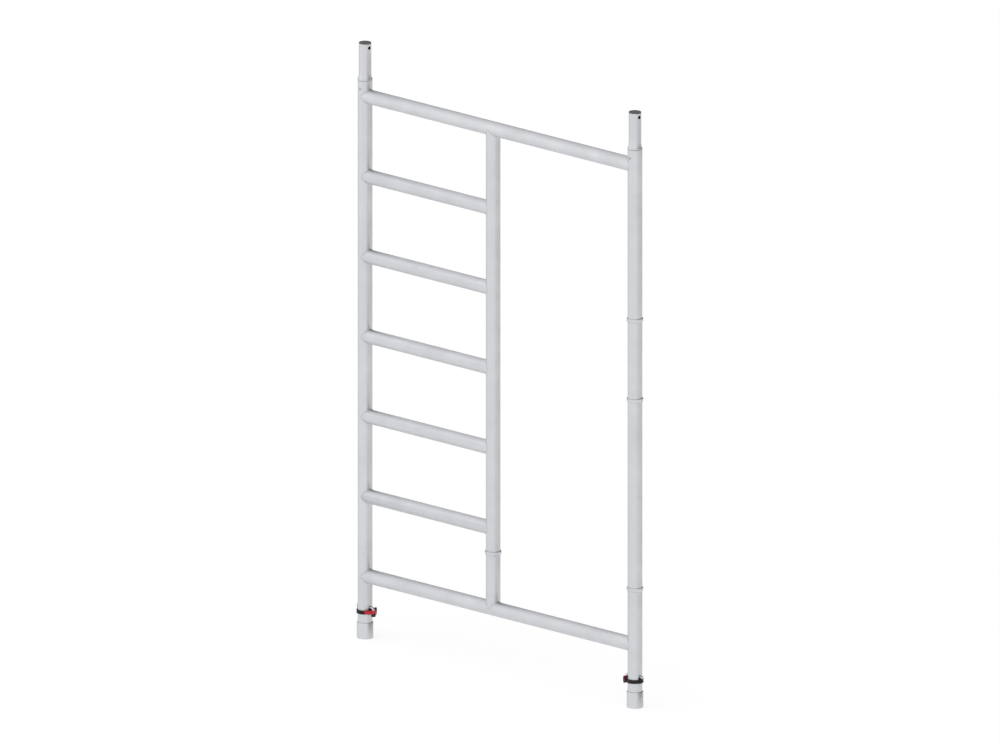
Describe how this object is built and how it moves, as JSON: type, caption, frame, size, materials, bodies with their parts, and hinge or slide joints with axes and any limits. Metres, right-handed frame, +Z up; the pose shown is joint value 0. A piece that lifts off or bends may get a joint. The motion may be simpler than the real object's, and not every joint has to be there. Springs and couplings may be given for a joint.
{
  "type": "walk-through scaffold end frame",
  "caption": "Welded aluminium walk-through end frame for a scaffold tower: ladder side, open doorway side, spigots on top, sockets below and pin locks with red levers.",
  "frame": {"origin": "on the ground, midway between the two outer posts, at the centre of the frame's depth", "axes": "+X along the frame from the ladder side to the doorway side, +Y through the frame towards its back, +Z up"},
  "size_m": [1.376, 0.0606, 2.0855],
  "materials": {
    "tube": "mill-finish extruded tube, satin",
    "rung_tube": "extruded tube with fine anti-slip ribs, satin",
    "cast_ring": "turned collar, satin",
    "weld": "as-welded bead",
    "cap": "moulded end cap, matt",
    "rivet": "blind rivet, satin",
    "lock_black": "moulded nylon, matt",
    "lock_red": "moulded nylon, semi-gloss",
    "pin_steel": "zinc-plated bar, satin"
  },
  "bodies": {
    "frame": {"left_post": "tube", "right_post": "tube", "middle_post": "tube", "left_spigot": "tube", "right_spigot": "tube", "left_socket_sleeve": "tube", "right_socket_sleeve": "tube", "left_socket_liner": "tube", "right_socket_liner": "tube", "top_rail": "rung_tube", "bottom_rail": "rung_tube", "rung_1": "rung_tube", "rung_2": "rung_tube", "rung_3": "rung_tube", "rung_4": "rung_tube", "rung_5": "rung_tube", "left_post_welds": "weld", "middle_post_welds": "weld", "right_post_welds": "weld", "middle_post_ring": "cast_ring", "right_lower_ring": "cast_ring", "right_middle_ring": "cast_ring", "right_upper_ring": "cast_ring", "left_spigot_cap": "cap", "left_spigot_rivets": "rivet", "left_lock_band": "lock_black", "right_spigot_cap": "cap", "right_spigot_rivets": "rivet", "right_lock_band": "lock_black"},
    "left_pin": {"left_lock_pin": "pin_steel", "left_pin_grip": "lock_black"},
    "left_lever": {"left_lock_lever": "lock_red"},
    "right_pin": {"right_lock_pin": "pin_steel", "right_pin_grip": "lock_black"},
    "right_lever": {"right_lock_lever": "lock_red"}
  },
  "joints": [
    {"name": "left_pin_slide", "type": "slide", "parent": "frame", "child": "left_pin", "axis": [1, 0, 0], "range_m": [0, 0.061]},
    {"name": "left_lever_hinge", "type": "hinge", "parent": "left_pin", "child": "left_lever", "pos_m": [-0.61, 0, 0.09625], "axis": [0, 0, 1], "range_deg": [0, 110]},
    {"name": "right_pin_slide", "type": "slide", "parent": "frame", "child": "right_pin", "axis": [-1, 0, 0], "range_m": [0, 0.061]},
    {"name": "right_lever_hinge", "type": "hinge", "parent": "right_pin", "child": "right_lever", "pos_m": [0.61, 0, 0.09625], "axis": [0, 0, 1], "range_deg": [0, 110]}
  ]
}
